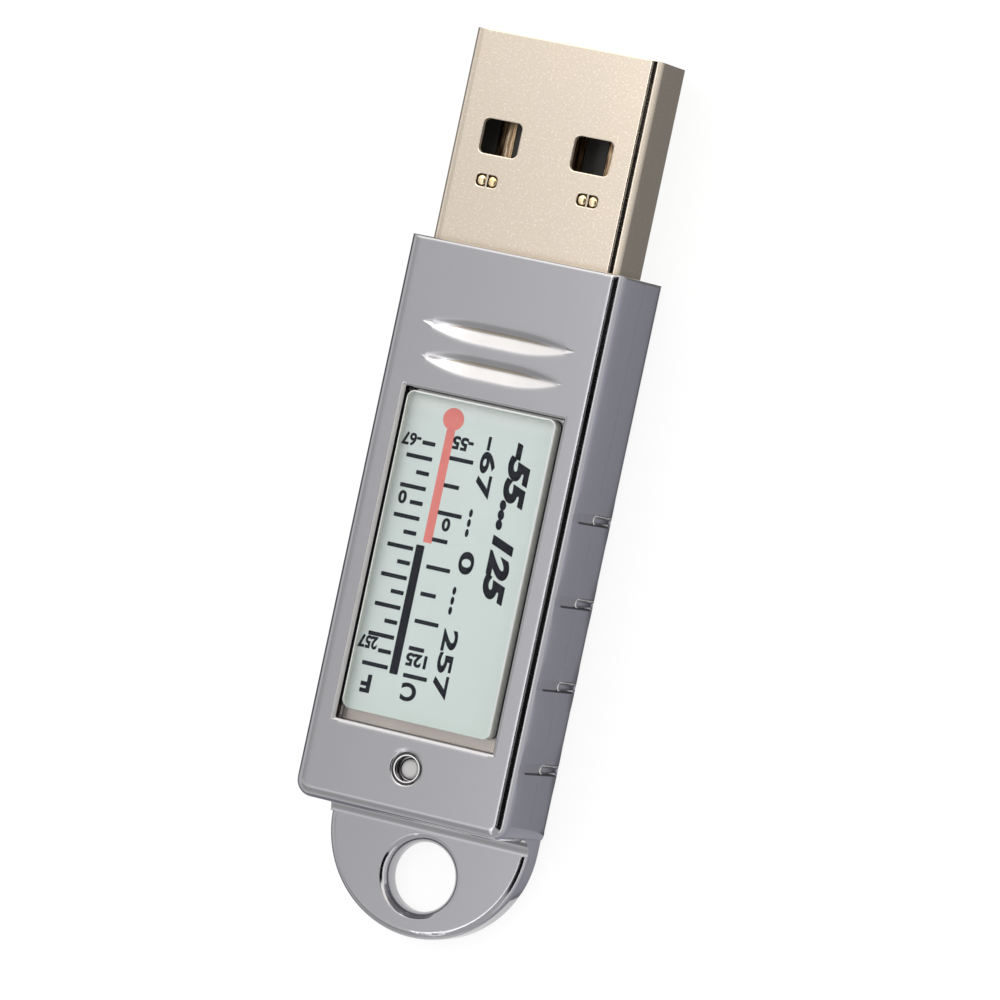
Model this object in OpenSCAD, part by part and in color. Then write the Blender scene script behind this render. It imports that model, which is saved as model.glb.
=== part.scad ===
// Stick thermometer: a temperature logger in a two-piece metal housing, with a
// USB-A plug at one end and a key-ring lug at the other.
// Millimetres. +Y runs to the plug's tip, +Z out of the display face, and the
// origin lies on the flat back, under the middle of the whole length.

/* [Housing] */
// Length of the housing without plug and lug
body_l = 33.8; // [31:0.2:44]
// Metal beside the plug and the board, on each side
side_wall = 0.85; // [0.7:0.05:1.4]
// Metal between the plug and the display face
plug_cover = 1.05; // [0.8:0.05:1.6]
// Metal between the plug and the back
plug_under = 1.85; // [1.5:0.05:3]
// Metal under the electronics
floor_wall = 0.9; // [0.7:0.05:1.2]
// Metal at the lug end
end_wall = 1.2; // [0.9:0.1:2]
// Metal left under the label recess
face_wall = 0.7; // [0.5:0.05:0.9]
// Height of the parting line above the back
split_h = 3.7; // [3.2:0.1:4.2]
// Radius along the edges of the display face
front_r = 0.7; // [0.3:0.05:1]
// Radius along the two long edges of the back
back_r = 1.3; // [0.4:0.1:2]
// Radius of the upright corners at the lug end
corner_r = 1.0; // [0.4:0.1:2]
// Radius of the edges round the plug
mouth_r = 0.15; // [0.1:0.05:0.5]

/* [Grip notches] */
// Notches on each side
notch_count = 4; // [2:1:5]
// Distance from notch to notch
notch_pitch = 5; // [3.6:0.1:6]
// Distance of the first notch from the lug end
notch_first = 4.5; // [3:0.1:7]
// Width of a notch
notch_w = 0.6; // [0.3:0.05:1]
// Depth of a notch's ramp at the parting line
notch_depth = 0.15; // [0.1:0.05:0.5]
// Depth of a notch's channel in the rear half
slot_depth = 0.25; // [0.2:0.05:0.6]
// Height above the back at which a channel ends
notch_low = 0.6; // [0.3:0.05:2]
// Length of the shallow dip round each notch
dip_l = 3.2; // [2:0.1:3.6]
// Depth of that dip
dip_depth = 0.07; // [0.03:0.01:0.15]

/* [Thumb grooves] */
// Grooves across the display face
groove_count = 2; // [1:1:2]
// Length of the first groove
groove_l = 9.9; // [6:0.1:11]
// How much shorter each next groove is
groove_step = 0.8; // [0.2:0.1:2]
// Length of a groove's straight middle
groove_flat = 2.4; // [1:0.1:4]
// Width of a groove's flank on the plug's side of its crease
flank_near = 0.56; // [0.3:0.02:0.7]
// Width of a groove's flank on the lug's side of its crease
flank_far = 0.74; // [0.3:0.02:0.9]
// Depth of a groove
groove_depth = 0.3; // [0.15:0.05:0.45]
// Distance of the first groove's crease from the plug end
groove_first = 4.9; // [3:0.05:5.5]
// Distance from groove to groove
groove_pitch = 2; // [1.8:0.05:2.4]

/* [Label] */
// Width of the recess
recess_w = 10.15; // [7:0.05:11]
// Depth of the recess
recess_depth = 1.05; // [1:0.05:1.3]
// Rounding of the recess's upper edges
recess_edge_r = 0.25; // [0.1:0.05:0.35]
// Distance of the recess from the plug end
recess_start = 8.9; // [8.4:0.1:11]
// Distance of the recess from the lug end
recess_end = 5.0; // [4.6:0.1:8]
// Thickness of the clear plate
lens_t = 0.82; // [0.4:0.02:0.9]
// Bevel round the top of the clear plate
lens_bevel = 0.1; // [0.05:0.05:0.35]
// Radius of the plate's upright corners
lens_r = 0.5; // [0.2:0.05:1.5]
// Thickness of the printed sheet
sheet_t = 0.12; // [0.06:0.02:0.2]
// Thickness of the double-sided tape
tape_t = 0.1; // [0.04:0.02:0.16]
// Border of the sheet that the tape leaves free
tape_border = 0.4; // [0.1:0.1:1]
// Play between the label and the recess
label_play = 0.12; // [0.05:0.01:0.3]
// Gap that the label leaves at the lug end
label_gap = 0.65; // [0.1:0.05:1.5]
// Gap that the label leaves on its right side
side_gap = 0.37; // [0.05:0.01:0.6]

/* [Status lamp] */
// Distance of the lamp from the lug end
lamp_end = 2.95; // [2.8:0.05:3.4]
// Radius of the hole in the display face
lamp_hole_r = 0.93; // [0.8:0.01:1.2]
// Radius of that hole's narrow inner part
lamp_step_r = 0.67; // [0.62:0.01:0.8]
// Depth of the hole's wide part below the display face
lamp_step_drop = 0.75; // [0.4:0.05:0.9]
// Rounding of that hole's edge
lamp_edge_r = 0.15; // [0.05:0.01:0.25]
// Radius of the light pipe in that hole
pipe_r = 0.6; // [0.4:0.01:0.75]
// Rounding of the light pipe's visible end
pipe_round = 0.22; // [0.1:0.01:0.35]
// Depth of the light pipe's end below the display face
pipe_drop = 0.56; // [0.3:0.01:1.2]
// Radius of the light pipe's flange
flange_r = 1.45; // [1.2:0.05:1.6]

/* [Key-ring lug] */
// Thickness of the lug
lug_t = 1.9; // [1.4:0.05:3]
// Radius of the key-ring hole at its waist
hole_r = 2.08; // [1.5:0.02:2.6]
// Height of the hole's straight waist
waist_h = 0.4; // [0.3:0.05:0.8]
// How much wider the hole's rounded mouths are
hole_flare = 0.48; // [0.2:0.02:0.6]
// Metal between the waist and the end of the lug
lug_rim = 1.6; // [1:0.01:2.4]
// Space between the waist and the housing
hole_gap = 1.39; // [1.2:0.01:2]
// How far the lug's sides lie inside the housing's sides
lug_inset = 0.4; // [0.1:0.05:1.2]
// Radius of the lug's edges
lug_edge_r = 0.45; // [0.1:0.05:0.6]
// Radius of the hollow between the lug and the housing
blend_r = 0.85; // [0.4:0.05:1]
// How far that hollow dips below the lug's face
blend_dip = 0.01; // [0.01:0.01:0.12]

/* [Plug] */
// Width of the plug
plug_w = 12; // [11.6:0.1:13]
// Thickness of the plug
plug_t = 4.5; // [4.3:0.1:5]
// Length of the plug outside the housing
plug_out = 12.7; // [11:0.1:16]
// Length of the plug inside the housing
plug_in = 5.5; // [4:0.1:6]
// Thickness of the plug's sheet metal
shell_t = 0.3; // [0.25:0.05:0.4]
// Outer corner radius of the plug
plug_r = 0.6; // [0.5:0.05:1]
// Bevel inside the plug's mouth
lip = 0.12; // [0.05:0.01:0.2]
// Width of a latch window
window_w = 2.5; // [2:0.1:3]
// Length of a latch window along the plug
window_l = 2.1; // [1.6:0.1:2.6]
// Corner radius of a latch window
window_r = 0.35; // [0.1:0.05:0.6]
// Distance between the middles of the two windows
window_span = 5.9; // [5:0.1:6.6]
// Distance of the windows from the plug's tip
window_tip = 6.18; // [5:0.1:7]
// Width of a pressed-in tang
tang_w = 1.35; // [0.9:0.05:1.8]
// Length of a tang along the plug
tang_l = 0.75; // [0.5:0.05:1]
// Distance between the middles of the two tangs
tang_span = 6.5; // [5:0.1:7]
// Distance of the tangs from the plug's tip
tang_tip = 8.8; // [8:0.1:9.6]
// Depth of a tang
tang_depth = 0.18; // [0.1:0.01:0.22]
// Width of the web in the middle of a tang
tang_web = 0.12; // [0.08:0.01:0.2]
// Width of a soldering leg
leg_w = 1.5; // [1:0.1:2.4]
// Length of a soldering leg
leg_l = 2; // [1.2:0.1:2.6]

/* [Plug contacts] */
// Thickness of the plastic tongue
tongue_t = 1.9; // [1.7:0.05:2.1]
// Play on each side of the tongue
tongue_play = 0.15; // [0.05:0.05:0.4]
// How far the tongue's end lies inside the plug's tip
tongue_set = 0.5; // [0.3:0.1:1.5]
// Distance of the solid block from the plug's tip
block_tip = 9.6; // [9:0.1:10.5]
// Width of a contact
contact_w = 1; // [0.7:0.05:1.2]
// Thickness of a contact
contact_t = 0.2; // [0.15:0.01:0.25]
// Distance of the power and ground contacts from the tongue's side
outer_edge = 2.05; // [1.6:0.05:2.3]
// Place of the data contacts beside the middle
inner_x = 1; // [0.9:0.05:1.2]
// How far the power and ground contacts start behind the tongue's end
outer_set = 0.9; // [0.5:0.1:1.5]
// How far the data contacts start behind the tongue's end
inner_set = 1.9; // [1.6:0.1:2.6]
// Length of a contact's tail on the board
tail_l = 1.8; // [1:0.1:2.2]

/* [Circuit board] */
// Thickness of the board
board_t = 1; // [0.8:0.05:1.2]
// Play between the board and the housing
board_play = 0.1; // [0.05:0.05:0.3]
// Distance of the rear pins from the board's lug end
pin_rear = 1.6; // [1.3:0.1:2.4]
// Distance of the front pins from the board's plug end
pin_front = 4; // [3.7:0.1:5]
// How far the pins stand from the housing's inner side
pin_side = 1.1; // [0.95:0.05:1.2]
// Radius of the pins that join the two housing halves
pin_r = 0.6; // [0.4:0.05:0.65]
// Radius of the collars that hold the board down
collar_r = 1; // [0.9:0.05:1.2]
// Radius of the bosses that carry the board
boss_r = 1.2; // [1.1:0.05:1.4]
// Thickness of the insulating sheet on the floor
liner_t = 0.1; // [0.06:0.02:0.15]
// Play between the insulating sheet and what stands round it
liner_play = 0.25; // [0.1:0.05:0.5]

/* [Components] */
// Width of the controller's body
mcu_w = 4.4; // [3.9:0.1:5]
// Length of the controller's body
mcu_l = 6.6; // [5:0.1:7.8]
// Width of the small chips' bodies
chip_w = 3; // [2.8:0.1:3.6]
// Length of the small chips' bodies
chip_l = 3; // [2.8:0.1:3.6]
// Height of the chips above the board
chip_h = 1; // [0.8:0.05:1.05]
// Distance between leads
lead_pitch = 0.65; // [0.6:0.01:0.68]
// Length of the crystal
crystal_l = 5; // [4:0.1:5.5]
// Width of the crystal
crystal_w = 3.2; // [2.5:0.1:3.4]
// Height of the crystal
crystal_h = 0.9; // [0.7:0.05:1]
// Length of the resistors and capacitors
passive_l = 1.6; // [1.2:0.1:1.8]
// Width of the resistors and capacitors
passive_w = 0.8; // [0.6:0.05:1]
// Height of the resistors
resistor_h = 0.45; // [0.35:0.05:0.6]
// Height of the capacitors
capacitor_h = 0.8; // [0.6:0.05:1]
// Height of the lamp's LED
led_h = 0.6; // [0.45:0.05:0.7]

/* [Hidden] */
$fn = 64;

fit = 0.05;                 // clearance of pieces that seat in each other
over = 1;                   // overrun of cuts
root = 0.4;                 // how deep a boss or the lug is rooted in its wall

// Housing sections: the plug sets the inside, the walls the outside.
inner_w = plug_w + 2 * fit;
body_w = inner_w + 2 * side_wall;
body_t = plug_under + plug_t + plug_cover;

// Along Y: tip, plug end, lug end and lug.
lug_out = hole_gap + 2 * hole_r + lug_rim;
total_l = plug_out + body_l + lug_out;
tip_y = total_l / 2;
mouth_y = tip_y - plug_out;
foot_y = mouth_y - body_l;
lug_r = body_w / 2 - lug_inset;
lug_y = foot_y - lug_out + lug_r;
hole_y = foot_y - hole_gap - hole_r;
lamp_y = foot_y + lamp_end;

// Label, from the recess floor up.
recess_l = body_l - recess_start - recess_end;
recess_z = body_t - recess_depth;
sheet_z = recess_z + tape_t;
lens_z = sheet_z + sheet_t;
label_w = recess_w - label_play - side_gap;
label_l = recess_l - label_play - label_gap;
label_x = (label_play - side_gap) / 2;
label_y = mouth_y - recess_start - label_play - label_l / 2;
ceiling_z = recess_z - face_wall;

// Plug, tongue and board: the contacts lie on the tongue and run out onto the
// board's front side.
plug_rear_y = mouth_y - plug_in;
tongue_w = plug_w - 2 * shell_t - 2 * tongue_play;
outer_x = tongue_w / 2 - outer_edge;
tongue_z = plug_under + shell_t;
contact_z = tongue_z + tongue_t - contact_t;
board_z = contact_z - board_t;
board_w = inner_w - 2 * board_play;
board_y0 = foot_y + end_wall + board_play;
board_y1 = plug_rear_y - fit;
board_l = board_y1 - board_y0;
pin_x = inner_w / 2 - pin_side;
pin_ys = [board_y0 + pin_rear, board_y1 - pin_front];
pin_z = floor_wall + root;
outer_start_y = tip_y - tongue_set - outer_set;
inner_start_y = tip_y - tongue_set - inner_set;
tail_y = board_y1 - tail_l;

// Chip details.
chip_standoff = 0.08;
chip_draft = 0.12;
lead_w = 0.24;
lead_t = 0.12;
lead_shoulder = 0.3;
lead_reach = 0.95;
dot_r = 0.25;
dot_depth = 0.06;
cap_l = 0.35;
cap_swell = 0.03;
crystal_base = 0.3;
crystal_inset = 0.2;
crystal_r = 0.5;
led_base = 0.3;
led_inset = 0.15;
bevel = 0.1;
solder_w = 0.3;
solder_h = 0.18;

// Places on the board as shares of its width and length, from its middle and
// from its lug end.
mcu_shares = [0, 0.5];
sensor_shares = [0, 0.27];
memory_shares = [-0.16, 0.77];
crystal_shares = [0.06, 0.55];
resistor_shares = [[-0.08, 0.89], [0.1, 0.89], [0.3, 0.76], [0.3, 0.7],
                   [-0.32, 0.14], [0.3, 0.27]];
capacitor_shares = [[0.3, 0.64], [-0.36, 0.55], [-0.36, 0.47], [-0.32, 0.27],
                    [0.3, 0.2], [-0.2, 0.4], [0.2, 0.4]];

// Radius of the arc that spans a chord with a given rise.
function arc_r(chord, rise) = (chord * chord / 4 + rise * rise) / (2 * rise);

// What rounding takes off a corner at the origin whose sides run to +X and +Y.
module corner(r) {
    difference() {
        translate([-over, -over]) square(r + over);
        translate([r, r]) circle(r);
    }
}

// Flat outline standing on the X axis, with one radius for its lower and one
// for its upper corners.
module outline(w, h, r_low, r_high) {
    difference() {
        translate([-w / 2, 0]) square([w, h]);
        for (side = [0, 1]) mirror([side, 0]) {
            translate([-w / 2, 0]) corner(r_low);
            translate([-w / 2, h]) mirror([0, 1]) corner(r_high);
        }
    }
}

// Section of the label recess, w wide on the X axis, with rounded upper edges.
module flared(w) {
    translate([-w / 2, 0]) square([w, recess_depth + over]);
    difference() {
        translate([-w / 2 - recess_edge_r, recess_depth - recess_edge_r])
            square([w + 2 * recess_edge_r, recess_edge_r + over]);
        for (side = [-1, 1])
            translate([side * (w / 2 + recess_edge_r), recess_depth - recess_edge_r])
                circle(recess_edge_r);
    }
}

// Solid whose cross-section, drawn in X and Z, runs along Y from y0 to y1.
module along_y(y0, y1) {
    translate([0, y1, 0]) rotate([90, 0, 0]) linear_extrude(y1 - y0) children();
}

// Solid whose side view, drawn in Y and Z, runs w wide across X.
module across_x(w) {
    translate([-w / 2, 0, 0]) rotate([90, 0, 90]) linear_extrude(w) children();
}

module plug_section(play) {
    translate([0, plug_under]) outline(plug_w + 2 * play, plug_t, plug_r, plug_r);
}

// One child at each grip notch of the side towards +X.
module at_notches() {
    for (i = [0:notch_count - 1])
        translate([body_w / 2, foot_y + notch_first + i * notch_pitch, 0]) children();
}

module both_sides() {
    children();
    mirror([1, 0, 0]) children();
}

// Housing before it is parted and hollowed: the section along Y, the side view
// across X and the plan, whose sides dip round each grip notch.
module block() {
    dip_r = arc_r(dip_l, dip_depth);
    intersection() {
        along_y(foot_y, mouth_y) outline(body_w, body_t, back_r, front_r);
        across_x(body_w) difference() {
            translate([foot_y, 0]) square([body_l, body_t]);
            translate([mouth_y, 0]) mirror([1, 0]) corner(mouth_r);
            translate([mouth_y, body_t]) mirror([1, 0]) mirror([0, 1]) corner(mouth_r);
            translate([foot_y, body_t]) mirror([0, 1]) corner(front_r);
        }
        linear_extrude(body_t) difference() {
            translate([0, foot_y]) outline(body_w, body_l, corner_r, mouth_r);
            for (side = [0, 1]) mirror([side, 0]) at_notches()
                translate([dip_r - dip_depth, 0]) circle(dip_r, $fn = 128);
        }
    }
}

// What the rounding of the face's edges takes off its two corners at the lug end.
module face_corners() {
    both_sides() translate([body_w / 2 - corner_r, foot_y + corner_r, body_t])
        rotate([0, 0, -90]) rotate_extrude(angle = 90) translate([corner_r, 0])
            mirror([1, 0]) mirror([0, 1]) corner(front_r);
}

// Room for the electronics and the plug.
module cavity() {
    translate([-inner_w / 2, foot_y + end_wall, floor_wall])
        cube([inner_w, board_y1 - foot_y - end_wall, ceiling_z - floor_wall]);
    along_y(board_y1 - fit, mouth_y + over) plug_section(fit);
}

// Section of a groove's cutter at twice the groove's depth, standing on its
// crease, with the plug's side towards +X.
module groove_section() {
    polygon([[0, 0], [2 * flank_near, 2 * groove_depth], [-2 * flank_far, 2 * groove_depth]]);
}

// Groove with a straight middle and two ends that a wheel cuts, so that its
// crease rises to the face along an arc.
module groove(length) {
    wheel_r = arc_r(length - groove_flat, groove_depth);
    translate([0, 0, body_t - groove_depth]) {
        across_x(groove_flat) groove_section();
        both_sides() translate([groove_flat / 2, 0, wheel_r]) rotate([90, 0, 0])
            rotate([0, 0, -90]) rotate_extrude(angle = 30, $fn = 256)
                translate([wheel_r, 0]) rotate(90) mirror([1, 0]) groove_section();
    }
}

// Ramp of a notch, which starts in the rounded front edge, deepens towards the
// parting line and towards the lug, and runs out again above the back.
module notch_ramp() {
    intersection() {
        along_y(-notch_w, notch_w) polygon([
            [over, 0], [0, 0], [-notch_depth, split_h], [-notch_depth / 2, body_t],
            [over, body_t]]);
        linear_extrude(body_t) polygon([
            [over, -notch_w / 2], [-notch_depth, -notch_w / 2], [0, notch_w],
            [over, notch_w]]);
    }
}

// Channel of a notch in the rear half, cut by a ball-ended tool.
module notch_channel() {
    channel_r = notch_w / 2;
    translate([channel_r - slot_depth, 0, 0]) {
        translate([0, 0, notch_low + channel_r])
            cylinder(r = channel_r, h = split_h - notch_low - notch_w);
        for (z = [notch_low, split_h - notch_w])
            translate([0, 0, z + channel_r]) sphere(channel_r);
    }
}

// One child at each of the four pins that join the housing halves.
module at_pins() {
    for (y = pin_ys, side = [-1, 1]) translate([side * pin_x, y, 0]) children();
}

module front_shell() {
    color("silver") {
        difference() {
            block();
            translate([-body_w, foot_y - over, -over])
                cube([2 * body_w, body_l + 2 * over, split_h + over]);
            cavity();
            intersection() {
                along_y(foot_y, mouth_y) translate([0, recess_z]) flared(recess_w);
                across_x(body_w) translate([foot_y + recess_end + recess_l / 2, recess_z])
                    flared(recess_l);
            }
            for (i = [0:groove_count - 1])
                translate([0, mouth_y - groove_first - i * groove_pitch, 0])
                    groove(groove_l - i * groove_step);
            translate([0, lamp_y, body_t]) rotate_extrude() {
                translate([0, ceiling_z - over - body_t])
                    square([lamp_step_r, body_t - ceiling_z + 2 * over]);
                translate([0, -lamp_step_drop])
                    square([lamp_hole_r, lamp_step_drop + over]);
                difference() {
                    translate([0, -lamp_edge_r])
                        square([lamp_hole_r + lamp_edge_r, lamp_edge_r + over]);
                    translate([lamp_hole_r + lamp_edge_r, -lamp_edge_r])
                        circle(lamp_edge_r);
                }
            }
            both_sides() at_notches() notch_ramp();
            face_corners();
        }
        // Collars press on the board, and their pins go on into the bosses.
        at_pins() {
            translate([0, 0, board_z + board_t])
                cylinder(r = collar_r, h = ceiling_z + root - board_z - board_t);
            translate([0, 0, pin_z + fit])
                cylinder(r = pin_r, h = ceiling_z + root - pin_z - fit);
        }
    }
}

// Lug: a rounded disc that its straight flanks join to the housing, with a
// hollow in front of the housing and a key-ring hole that is narrowest halfway.
module lug() {
    difference() {
        union() {
            intersection() {
                translate([0, lug_y, 0]) rotate_extrude() difference() {
                    square([lug_r, lug_t]);
                    translate([lug_r, 0]) mirror([1, 0]) corner(lug_edge_r);
                    translate([lug_r, lug_t]) mirror([1, 0]) mirror([0, 1]) corner(lug_edge_r);
                }
                translate([-body_w, foot_y - lug_out - over, -over])
                    cube([2 * body_w, lug_out + over + root, lug_t + 2 * over]);
            }
            along_y(lug_y, foot_y + corner_r / 2)
                outline(2 * lug_r, lug_t, lug_edge_r, lug_edge_r);
            translate([-lug_r, foot_y - blend_r, lug_t - lug_edge_r])
                cube([2 * lug_r, blend_r + corner_r / 2, lug_edge_r + blend_r - blend_dip]);
        }
        across_x(2 * body_w) translate([foot_y - blend_r, lug_t + blend_r - blend_dip])
            circle(blend_r);
        translate([0, hole_y, 0]) rotate_extrude() {
            mouth_h = (lug_t - waist_h) / 2;
            mouth_curve = arc_r(2 * mouth_h, hole_flare);
            translate([0, -over]) difference() {
                square([hole_r + hole_flare, lug_t + 2 * over]);
                translate([hole_r, over + mouth_h]) square([hole_r, waist_h]);
                for (z = [mouth_h, mouth_h + waist_h])
                    translate([hole_r + mouth_curve, over + z]) circle(mouth_curve);
            }
        }
    }
}

module rear_shell() {
    color("silver") {
        difference() {
            block();
            translate([-body_w, foot_y - over, split_h])
                cube([2 * body_w, body_l + 2 * over, body_t]);
            cavity();
            both_sides() at_notches() {
                notch_ramp();
                notch_channel();
            }
        }
        lug();
        at_pins() difference() {
            translate([0, 0, floor_wall - root])
                cylinder(r = boss_r, h = board_z - floor_wall + root);
            translate([0, 0, pin_z]) cylinder(r = pin_r + fit, h = board_z);
        }
    }
}

// Outline of the sheet and the clear plate, smaller all round by border.
module label_outline(border) {
    translate([label_x, label_y - label_l / 2 + border])
        outline(label_w - 2 * border, label_l - 2 * border, lens_r, lens_r);
}

module label_tape() {
    color("beige") translate([0, 0, recess_z]) linear_extrude(tape_t)
        label_outline(tape_border);
}

module label_sheet() {
    color("honeydew") translate([0, 0, sheet_z]) linear_extrude(sheet_t)
        label_outline(0);
}

// Outline w wide on the X axis whose upper corners are bevelled.
module bevelled(w, h, size) {
    polygon([[-w / 2, 0], [w / 2, 0], [w / 2, h - size], [w / 2 - size, h],
             [size - w / 2, h], [-w / 2, h - size]]);
}

module label_lens() {
    color("mintcream", 0.6) translate([0, 0, lens_z]) intersection() {
        along_y(label_y - label_l / 2, label_y + label_l / 2)
            translate([label_x, 0]) bevelled(label_w, lens_t, lens_bevel);
        translate([label_x, label_y, 0]) across_x(label_w)
            bevelled(label_l, lens_t, lens_bevel);
        linear_extrude(lens_t) label_outline(0);
    }
}

module light_pipe() {
    pipe_z = body_t - pipe_drop;
    foot_z = board_z + board_t + led_h + fit;
    color("whitesmoke") translate([0, lamp_y, 0]) rotate_extrude() {
        translate([0, foot_z]) square([flange_r, ceiling_z - foot_z]);
        difference() {
            translate([0, foot_z]) square([pipe_r, pipe_z - foot_z]);
            translate([pipe_r, pipe_z]) mirror([1, 0]) mirror([0, 1]) corner(pipe_round);
        }
    }
}

module plug_shell() {
    color("wheat") {
        difference() {
            along_y(plug_rear_y, tip_y) plug_section(0);
            along_y(plug_rear_y - over, tip_y + over) translate([0, tongue_z])
                outline(plug_w - 2 * shell_t, plug_t - 2 * shell_t,
                        plug_r - shell_t, plug_r - shell_t);
            // Bevel inside the mouth.
            across_x(plug_w - 2 * shell_t) polygon([
                [tip_y - lip, tongue_z], [tip_y + over, tongue_z - over - lip],
                [tip_y + over, plug_under + plug_t - shell_t + over + lip],
                [tip_y - lip, plug_under + plug_t - shell_t]]);
            for (side = [-1, 1]) {
                // Latch windows go through both broad faces.
                translate([side * window_span / 2, tip_y - window_tip - window_l / 2,
                           plug_under - over])
                    linear_extrude(plug_t + 2 * over)
                        outline(window_w, window_l, window_r, window_r);
                // Tangs pressed in round a narrow web.
                translate([side * tang_span / 2, tip_y - tang_tip,
                           plug_under + plug_t - tang_depth])
                    linear_extrude(tang_depth + over) difference() {
                        translate([0, -tang_l / 2])
                            outline(tang_w, tang_l, tang_l / 3, tang_l / 3);
                        square([tang_web, 2 * tang_l], center = true);
                    }
            }
        }
        both_sides() translate([plug_w / 2 - shell_t, plug_rear_y - leg_l,
                                board_z + board_t / 2 - leg_w / 2])
            cube([shell_t, leg_l + root, leg_w]);
    }
}

module plug_insulator() {
    block_h = plug_t - 2 * shell_t;
    block_r = plug_r - shell_t + fit;
    block_y = tip_y - block_tip;
    color("dimgray") difference() {
        union() {
            along_y(block_y - root, tip_y - tongue_set) translate([0, tongue_z])
                outline(tongue_w, tongue_t, block_r, bevel);
            along_y(plug_rear_y, block_y) translate([0, tongue_z])
                outline(plug_w - 2 * shell_t - 2 * fit, block_h, block_r, block_r);
        }
        contact_slot(-outer_x, outer_start_y);
        contact_slot(-inner_x, inner_start_y);
        contact_slot(inner_x, inner_start_y);
        contact_slot(outer_x, outer_start_y);
    }
}

// Slot for a contact: open along the tongue, and closed through the block.
module contact_slot(x, start_y) {
    slot_w = contact_w + 2 * fit;
    translate([x - slot_w / 2, plug_rear_y - over, contact_z])
        cube([slot_w, start_y + fit - plug_rear_y + over, contact_t + fit]);
}

// Contact strip from its bevelled end on the tongue to its tail on the board.
module contact(x, start_y) {
    color("goldenrod") translate([x, 0, contact_z]) across_x(contact_w) polygon([
        [tail_y, 0], [start_y, 0], [start_y, contact_t / 2],
        [start_y - contact_t, contact_t], [tail_y, contact_t]]);
}

module contact_power() { contact(-outer_x, outer_start_y); }
module contact_data_minus() { contact(-inner_x, inner_start_y); }
module contact_data_plus() { contact(inner_x, inner_start_y); }
module contact_ground() { contact(outer_x, outer_start_y); }

module circuit_board() {
    neck_w = plug_w - 2 * shell_t - 2 * fit;
    color("darkgreen") translate([0, 0, board_z]) linear_extrude(board_t) difference() {
        translate([-board_w / 2, board_y0]) square([board_w, board_l]);
        // The board is narrower between the plug's legs.
        for (side = [0, 1]) mirror([side, 0])
            translate([neck_w / 2, board_y1 - leg_l - board_play])
                square([board_w, leg_l + board_play + over]);
        at_pins() circle(pin_r + board_play);
    }
}

// One child on the board's front side at a place given as shares.
module on_board(shares) {
    translate([shares[0] * board_w, board_y0 + shares[1] * board_l, board_z + board_t])
        children();
}

// The same on the board's rear side, turned over.
module under_board(shares) {
    translate([shares[0] * board_w, board_y0 + shares[1] * board_l, board_z])
        mirror([0, 0, 1]) children();
}

// Moulded chip w by l with gull-wing leads along both of its long sides.
module chip(w, l) {
    mid = (chip_h + chip_standoff) / 2;
    leads = floor(l / lead_pitch);
    difference() {
        along_y(-l / 2, l / 2) polygon([
            [chip_draft - w / 2, chip_standoff], [w / 2 - chip_draft, chip_standoff],
            [w / 2, mid], [w / 2 - chip_draft, chip_h],
            [chip_draft - w / 2, chip_h], [-w / 2, mid]]);
        translate([2 * dot_r + chip_draft - w / 2, l / 2 - 2 * dot_r, chip_h - dot_depth])
            cylinder(r = dot_r, h = over);
    }
    both_sides() for (i = [0:leads - 1])
        translate([w / 2, (i - (leads - 1) / 2) * lead_pitch, 0])
            along_y(-lead_w / 2, lead_w / 2) polygon([
                [-chip_draft, mid + lead_t / 2], [lead_shoulder + lead_t, mid + lead_t / 2],
                [lead_shoulder + lead_t, lead_t], [lead_reach, lead_t], [lead_reach, 0],
                [lead_shoulder, 0], [lead_shoulder, mid - lead_t / 2],
                [-chip_draft, mid - lead_t / 2]]);
}

module microcontroller() {
    color("black") under_board(mcu_shares) chip(mcu_w, mcu_l);
}

module temperature_sensor() {
    color("black") on_board(sensor_shares) chip(chip_w, chip_l);
}

module memory_chip() {
    color("black") on_board(memory_shares) chip(chip_w, chip_l);
}

module crystal() {
    color("lightgray") on_board(crystal_shares) {
        translate([-crystal_l / 2, -crystal_w / 2, 0])
            cube([crystal_l, crystal_w, crystal_base]);
        translate([0, crystal_inset - crystal_w / 2, 0]) linear_extrude(crystal_h)
            outline(crystal_l - 2 * crystal_inset, crystal_w - 2 * crystal_inset,
                    crystal_r, crystal_r);
    }
}

// Resistor or capacitor: a body between two slightly larger end caps.
module passive(h) {
    translate([-passive_l / 2 + cap_l / 2, cap_swell - passive_w / 2, 0])
        cube([passive_l - cap_l, passive_w - 2 * cap_swell, h - cap_swell]);
    both_sides() translate([passive_l / 2 - cap_l, -passive_w / 2, 0])
        cube([cap_l, passive_w, h]);
}

module resistors() {
    color("dimgray") for (shares = resistor_shares) on_board(shares) passive(resistor_h);
}

module capacitors() {
    color("tan") for (shares = capacitor_shares) on_board(shares) passive(capacitor_h);
}

module status_led() {
    color("ivory") translate([0, lamp_y, board_z + board_t]) {
        translate([-passive_l / 2, -passive_w / 2, 0]) cube([passive_l, passive_w, led_base]);
        translate([0, passive_w / 2, 0]) along_y(-passive_w, 0)
            bevelled(passive_l - 2 * led_inset - 2 * bevel, led_h, bevel);
    }
}

// Solder along both sides of each contact's tail, and inside each plug leg.
module solder_joints() {
    color("gainsboro") {
        for (x = [-outer_x, -inner_x, inner_x, outer_x], side = [0, 1])
            translate([x, 0, board_z + board_t]) mirror([side, 0, 0])
                translate([contact_w / 2, 0, 0]) along_y(tail_y, board_y1)
                    polygon([[0, 0], [solder_w, 0], [0, solder_h]]);
        both_sides() translate([plug_w / 2 - shell_t, 0, board_z + board_t])
            mirror([1, 0, 0]) along_y(board_y1 - leg_l, board_y1)
                polygon([[0, 0], [2 * solder_w, 0], [0, solder_w]]);
    }
}

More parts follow.
